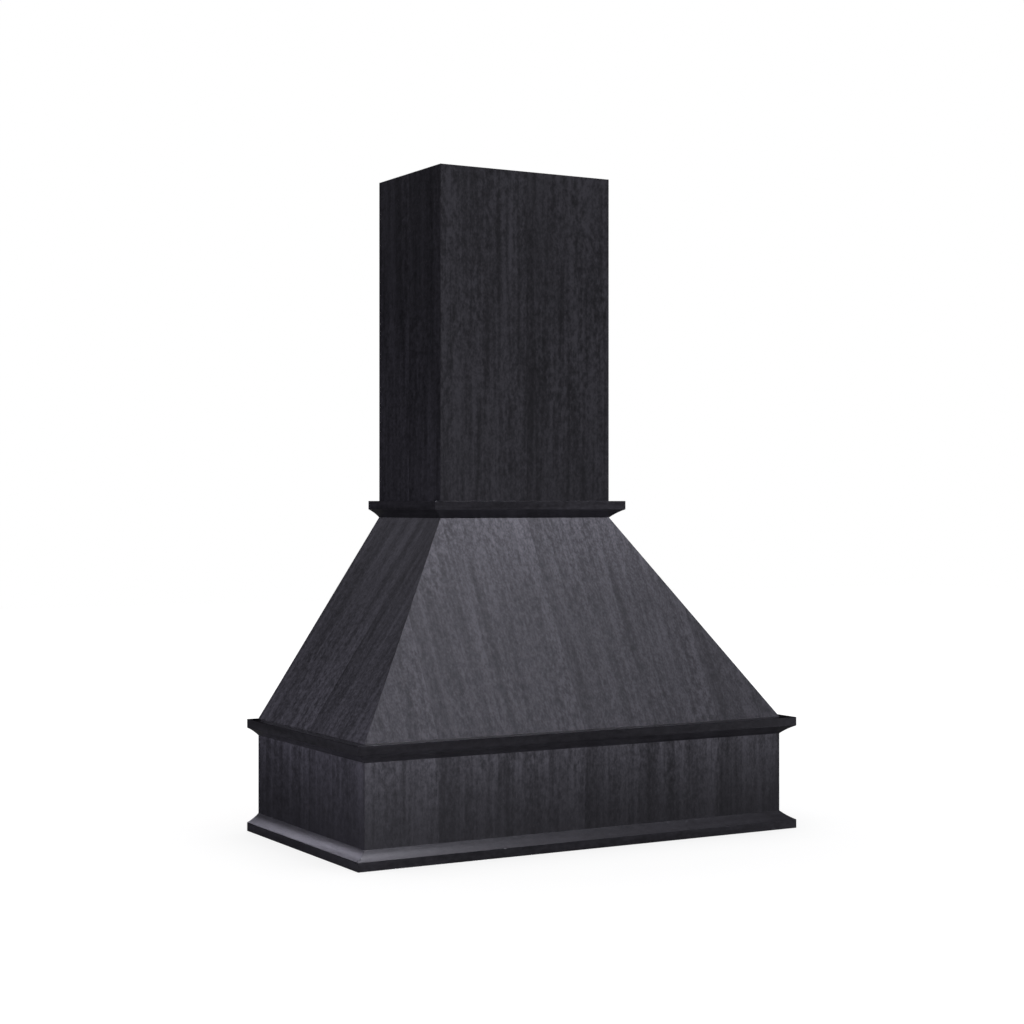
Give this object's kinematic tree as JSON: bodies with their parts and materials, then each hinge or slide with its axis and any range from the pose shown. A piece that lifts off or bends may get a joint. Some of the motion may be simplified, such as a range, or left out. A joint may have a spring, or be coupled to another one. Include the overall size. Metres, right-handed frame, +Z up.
{
  "type": "wooden range hood cover",
  "caption": "Black-stained wooden range hood cover for a wall: straight band, mitred sloped panels, mouldings and a lift-off box chimney, open at the back and below for a liner and duct.",
  "frame": {"origin": "bottom centre of the cover's bounding box, level with the underside of the bottom moulding", "axes": "+Z up, +Y towards the wall, +X along the wall to the right as seen from the room; the front faces -Y"},
  "size_m": [0.9624, 0.512, 1.3025],
  "materials": {
    "stained_panel": "black-stained oak veneer on plywood, satin lacquer, grain upright",
    "stained_moulding": "black-stained solid oak, satin lacquer, grain along the length",
    "raw_plywood": "unfinished birch plywood",
    "raw_batten": "planed softwood, unfinished",
    "beech_dowel": "fluted beech dowel, unfinished",
    "zinc_screw": "zinc-plated steel"
  },
  "bodies": {
    "hood": {"back_stile_left": "raw_batten", "back_stile_right": "raw_batten", "band_corner_block_left": "raw_batten", "band_corner_block_right": "raw_batten", "band_front": "stained_panel", "band_left": "stained_panel", "band_moulding_front": "stained_moulding", "band_moulding_left": "stained_moulding", "band_moulding_right": "stained_moulding", "band_right": "stained_panel", "bottom_moulding_front": "stained_moulding", "bottom_moulding_left": "stained_moulding", "bottom_moulding_right": "stained_moulding", "cleat_screws": "zinc_screw", "deck_screws": "zinc_screw", "hip_block_left": "raw_batten", "hip_block_right": "raw_batten", "ledge_screws": "zinc_screw", "liner_ledge_front": "raw_batten", "liner_ledge_left": "raw_batten", "liner_ledge_rear": "raw_batten", "liner_ledge_right": "raw_batten", "locating_cleat_front": "raw_batten", "locating_cleat_left": "raw_batten", "locating_cleat_right": "raw_batten", "locating_cleat_screws": "zinc_screw", "neck_deck": "raw_plywood", "neck_moulding_front": "stained_moulding", "neck_moulding_left": "stained_moulding", "neck_moulding_right": "stained_moulding", "neck_rail": "raw_plywood", "slope_cleat_front": "raw_batten", "slope_cleat_left": "raw_batten", "slope_cleat_right": "raw_batten", "slope_front": "stained_panel", "slope_left": "stained_panel", "slope_right": "stained_panel", "wall_rail_dowels": "beech_dowel", "wall_rail_lower": "raw_plywood", "wall_rail_upper": "raw_plywood"},
    "chimney": {"chimney_corner_block_left": "raw_batten", "chimney_corner_block_right": "raw_batten", "chimney_dowels": "beech_dowel", "chimney_front": "stained_panel", "chimney_left": "stained_panel", "chimney_rail_lower": "raw_plywood", "chimney_rail_upper": "raw_plywood", "chimney_right": "stained_panel"}
  },
  "joints": [
    {"name": "chimney_lift", "type": "slide", "parent": "hood", "child": "chimney", "axis": [0, 0, 1], "range_m": [0, 0.08]}
  ]
}
